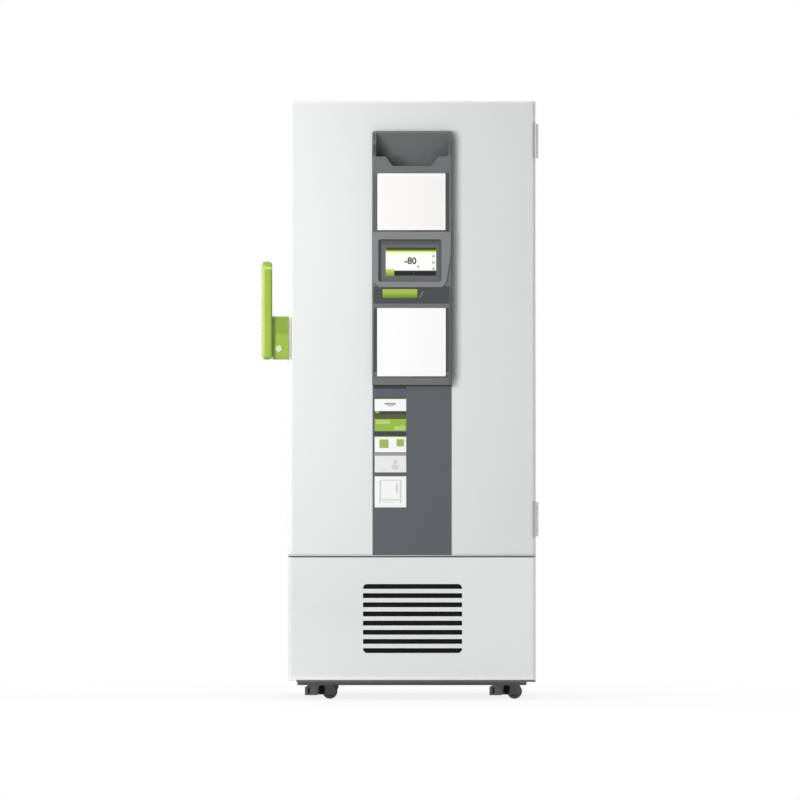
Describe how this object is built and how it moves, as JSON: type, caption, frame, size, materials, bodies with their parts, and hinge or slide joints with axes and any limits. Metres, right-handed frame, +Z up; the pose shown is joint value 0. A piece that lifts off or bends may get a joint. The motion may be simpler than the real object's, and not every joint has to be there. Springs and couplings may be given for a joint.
{
  "type": "ultra low temperature freezer",
  "caption": "Upright laboratory freezer with one insulated main door, inner doors, a side latch lever, a control column, a grilled service door and casters.",
  "frame": {"origin": "bottom centre of the whole object's bounding box, on the floor", "axes": "+Z up, the door faces -Y, +X towards the hinge side"},
  "size_m": [0.9176, 1.025, 1.98],
  "materials": {
    "white_paint": "smooth semi-gloss white powder coat",
    "dark_paint": "dark grey powder coat",
    "zinc_sheet": "zinc coated sheet",
    "stainless": "brushed stainless sheet",
    "hinge_steel": "satin steel",
    "foam": "rigid polyurethane foam",
    "white_plastic": "moulded white plastic",
    "seal": "soft grey magnetic gasket",
    "column_grey": "fine textured dark grey plastic",
    "strip_grey": "satin blue grey plastic",
    "bezel_grey": "satin mid grey plastic",
    "card": "white card under clear film",
    "screen": "lit display under glass",
    "light_green": "green lens",
    "latch_green": "green moulded plastic",
    "chrome": "polished chrome",
    "copper": "bare copper tube",
    "fins": "aluminium fins on copper tube",
    "black_plastic": "black moulded plastic",
    "compressor_paint": "black gloss enamel",
    "filter_mat": "grey filter fleece",
    "caster_steel": "dark painted steel",
    "wheel_tread": "dark grey tread"
  },
  "bodies": {
    "cabinet": {"side_panels": "white_paint", "top_panel": "white_paint", "rear_panel": "white_paint", "rear_machine_cover": "white_paint", "power_inlet": "black_plastic", "rear_spacers": "black_plastic", "cabinet_insulation": "foam", "inner_liner": "stainless", "front_frame": "white_plastic", "shelf_rails": "stainless", "shelves": "stainless", "machine_deck": "zinc_sheet", "front_cheeks": "white_paint", "base_frame": "dark_paint", "base_skirt": "dark_paint", "base_pan": "dark_paint", "caster_plates": "caster_steel", "compressor_first_stage": "compressor_paint", "compressor_second_stage": "compressor_paint", "condenser_coil": "fins", "fan_shroud": "black_plastic", "heat_exchanger_box": "foam", "refrigerant_lines": "copper", "electrical_box": "zinc_sheet", "latch_strike": "hinge_steel", "cabinet_hinge_leaves": "hinge_steel"},
    "door": {"door_outer_skin": "white_paint", "door_insulation": "foam", "door_inner_panel": "white_plastic", "door_gasket": "seal", "door_hinge_leaves": "hinge_steel", "control_column": "column_grey", "column_lower_strip": "strip_grey", "column_cards": "card", "display_bezel": "bezel_grey", "touch_screen": "screen", "status_light_bar": "light_green", "latch_housing": "latch_green"},
    "lever": {"latch_lever": "latch_green", "latch_hook": "hinge_steel"},
    "lock": {"key_cylinder": "chrome"},
    "upper_inner_door": {"inner_door_upper": "white_plastic", "inner_gasket_upper": "seal"},
    "lower_inner_door": {"inner_door_lower": "white_plastic", "inner_gasket_lower": "seal"},
    "upper_turn_latch": {"inner_latch_upper": "black_plastic"},
    "lower_turn_latch": {"inner_latch_lower": "black_plastic"},
    "service_door": {"service_door_panel": "white_paint", "air_filter": "filter_mat"},
    "fan": {"fan_blades": "black_plastic"},
    "swivel_front_left": {"caster_fork_front_left": "caster_steel"},
    "wheel_front_left": {"caster_wheel_front_left": "wheel_tread"},
    "swivel_front_right": {"caster_fork_front_right": "caster_steel"},
    "wheel_front_right": {"caster_wheel_front_right": "wheel_tread"},
    "swivel_rear_left": {"caster_fork_rear_left": "caster_steel"},
    "wheel_rear_left": {"caster_wheel_rear_left": "wheel_tread"},
    "swivel_rear_right": {"caster_fork_rear_right": "caster_steel"},
    "wheel_rear_right": {"caster_wheel_rear_right": "wheel_tread"},
    "pedal_front_left": {"brake_pedal_front_left": "black_plastic"},
    "pedal_front_right": {"brake_pedal_front_right": "black_plastic"}
  },
  "joints": [
    {"name": "door_hinge", "type": "hinge", "parent": "cabinet", "child": "door", "pos_m": [0.45335, -0.3785, 1.2], "axis": [0, 0, 1], "range_deg": [0, 120]},
    {"name": "latch_pull", "type": "hinge", "parent": "door", "child": "lever", "pos_m": [-0.42285, -0.4645, 1.196], "axis": [1, 0, 0], "range_deg": [0, 75]},
    {"name": "key_turn", "type": "hinge", "parent": "door", "child": "lock", "pos_m": [-0.40115, -0.4975, 1.16], "axis": [0, 1, 0], "range_deg": [0, 90]},
    {"name": "service_door_hinge", "type": "hinge", "parent": "cabinet", "child": "service_door", "pos_m": [0.44085, -0.467, 0.266], "axis": [0, 0, 1], "range_deg": [0, 110]},
    {"name": "fan_spin", "type": "hinge", "parent": "cabinet", "child": "fan", "pos_m": [0.03885, -0.3785, 0.255], "axis": [0, 1, 0], "continuous": true},
    {"name": "upper_inner_door_hinge", "type": "hinge", "parent": "cabinet", "child": "upper_inner_door", "pos_m": [0.34485, -0.3525, 1.56375], "axis": [0, 0, 1], "range_deg": [0, 90]},
    {"name": "upper_latch_turn", "type": "hinge", "parent": "upper_inner_door", "child": "upper_turn_latch", "pos_m": [-0.24615, -0.3585, 1.56375], "axis": [0, -1, 0], "range_deg": [0, 90]},
    {"name": "lower_inner_door_hinge", "type": "hinge", "parent": "cabinet", "child": "lower_inner_door", "pos_m": [0.34485, -0.3525, 0.89125], "axis": [0, 0, 1], "range_deg": [0, 90]},
    {"name": "lower_latch_turn", "type": "hinge", "parent": "lower_inner_door", "child": "lower_turn_latch", "pos_m": [-0.24615, -0.3585, 0.89125], "axis": [0, -1, 0], "range_deg": [0, 90]},
    {"name": "swivel_front_left", "type": "hinge", "parent": "cabinet", "child": "swivel_front_left", "pos_m": [-0.26715, -0.3645, 0.054], "axis": [0, 0, 1], "continuous": true},
    {"name": "roll_front_left", "type": "hinge", "parent": "swivel_front_left", "child": "wheel_front_left", "pos_m": [-0.23315, -0.3645, 0.025], "axis": [0, 1, 0], "continuous": true},
    {"name": "swivel_front_right", "type": "hinge", "parent": "cabinet", "child": "swivel_front_right", "pos_m": [0.34485, -0.3645, 0.054], "axis": [0, 0, 1], "continuous": true},
    {"name": "roll_front_right", "type": "hinge", "parent": "swivel_front_right", "child": "wheel_front_right", "pos_m": [0.37885, -0.3645, 0.025], "axis": [0, 1, 0], "continuous": true},
    {"name": "swivel_rear_left", "type": "hinge", "parent": "cabinet", "child": "swivel_rear_left", "pos_m": [-0.26715, 0.4025, 0.054], "axis": [0, 0, 1], "continuous": true},
    {"name": "roll_rear_left", "type": "hinge", "parent": "swivel_rear_left", "child": "wheel_rear_left", "pos_m": [-0.23315, 0.4025, 0.025], "axis": [0, 1, 0], "continuous": true},
    {"name": "swivel_rear_right", "type": "hinge", "parent": "cabinet", "child": "swivel_rear_right", "pos_m": [0.34485, 0.4025, 0.054], "axis": [0, 0, 1], "continuous": true},
    {"name": "roll_rear_right", "type": "hinge", "parent": "swivel_rear_right", "child": "wheel_rear_right", "pos_m": [0.37885, 0.4025, 0.025], "axis": [0, 1, 0], "continuous": true},
    {"name": "brake_front_left", "type": "hinge", "parent": "swivel_front_left", "child": "pedal_front_left", "pos_m": [-0.27315, -0.3645, 0.046], "axis": [0, 1, 0], "range_deg": [0, 12]},
    {"name": "brake_front_right", "type": "hinge", "parent": "swivel_front_right", "child": "pedal_front_right", "pos_m": [0.33885, -0.3645, 0.046], "axis": [0, 1, 0], "range_deg": [0, 12]}
  ],
  "couplings": [
    {"joint": "upper_inner_door_hinge", "follows": "door_hinge", "ratio": 0.75},
    {"joint": "lower_inner_door_hinge", "follows": "door_hinge", "ratio": 0.75}
  ]
}
